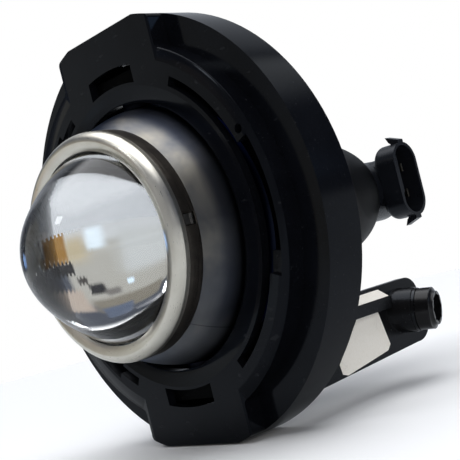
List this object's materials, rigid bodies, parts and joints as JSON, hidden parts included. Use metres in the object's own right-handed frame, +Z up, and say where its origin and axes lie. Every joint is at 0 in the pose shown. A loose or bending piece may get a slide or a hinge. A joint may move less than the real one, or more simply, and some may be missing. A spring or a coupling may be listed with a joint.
{
  "type": "fog light",
  "caption": "Round black fog light with a domed projector lens in a swinging bowl, a rear bulb with a right-angle socket, and a side arm that carries a screw aim adjuster.",
  "frame": {"origin": "centre of the housing plate's raised front face, where the lamp's own axis crosses it", "axes": "+Y runs to the rear along the housing's axis, so the lamp looks along -Y; +Z is up, through the two ears and along the swing axis; +X is to the right seen from the front"},
  "size_m": [0.12, 0.1489, 0.116],
  "materials": {
    "black_gloss": "satin moulded black plastic",
    "arm_black": "satin moulded black plastic",
    "label_stock": "blank printed label stock",
    "zinc_steel": "zinc plated",
    "bracket_black": "glass filled plastic",
    "bush_white": "natural acetal",
    "bowl_smoke": "smoky metallic lacquer",
    "band_steel": "dark blued steel",
    "spring_steel": "spring steel",
    "seal_rubber": "silicone rubber",
    "lens_glass": "pressed glass",
    "nickel": "nickel plated, rolled",
    "shield_steel": "heat tinted steel",
    "reflector_silver": "vapour deposited mirror",
    "dome_grey": "dark grey coated casting",
    "bulb_black": "heat resistant plastic",
    "terminal_tin": "tinned",
    "cap_metal": "drawn cap",
    "bulb_glass": "quartz",
    "tungsten": "coiled wire",
    "screw_black": "moulded black",
    "nut_white": "acetal"
  },
  "bodies": {
    "housing": {"outer_housing": "black_gloss", "rear_arm": "arm_black", "arm_screws": "zinc_steel", "info_label": "label_stock", "pivot_bracket_upper": "bracket_black", "pivot_bracket_lower": "bracket_black", "bracket_screws": "zinc_steel", "pivot_bushes": "bush_white", "adjuster_bush": "screw_black", "back_ring": "bracket_black", "back_ring_screws": "zinc_steel"},
    "projector": {"bowl_shell": "bowl_smoke", "lens_holder": "band_steel", "lens_clip": "spring_steel", "lens_seal": "seal_rubber", "lens": "lens_glass", "lens_ring": "nickel", "cutoff_shield": "shield_steel", "shield_rivets": "shield_steel", "reflector": "reflector_silver", "rear_housing": "dome_grey", "housing_screws": "zinc_steel", "pivot_pins": "spring_steel", "adjuster_fork": "bracket_black", "fork_screw": "zinc_steel"},
    "bulb": {"bulb_base": "bulb_black", "bulb_seal": "seal_rubber", "bulb_terminals": "terminal_tin", "bulb_cap": "cap_metal", "bulb_glass": "bulb_glass", "bulb_leads": "tungsten", "bulb_filament": "tungsten"},
    "adjuster": {"adjuster_screw": "screw_black", "retaining_clip": "spring_steel"},
    "nut": {"adjuster_nut": "nut_white"}
  },
  "joints": [
    {"name": "aim_swing", "type": "hinge", "parent": "housing", "child": "projector", "pos_m": [0, 0.0085, 0], "axis": [0, 0, 1], "range_deg": [-7.42, 0.58]},
    {"name": "adjuster_spin", "type": "hinge", "parent": "housing", "child": "adjuster", "pos_m": [0.032, 0.0581, -0.0372], "axis": [0.9271, 0.3578, -0.1115], "range_deg": [-538.3, 43]},
    {"name": "nut_travel", "type": "slide", "parent": "housing", "child": "nut", "axis": [0.9271, 0.3578, -0.1115], "range_m": [-0.0004, 0.00453]},
    {"name": "bulb_twist", "type": "hinge", "parent": "projector", "child": "bulb", "pos_m": [0, 0.0085, 0], "axis": [-0.0597, 0.9982, 0], "range_deg": [0, 40]}
  ],
  "couplings": [
    {"joint": "adjuster_spin", "follows": "aim_swing", "ratio": 72.416},
    {"joint": "nut_travel", "follows": "aim_swing", "m_per_rad": -0.034576}
  ]
}
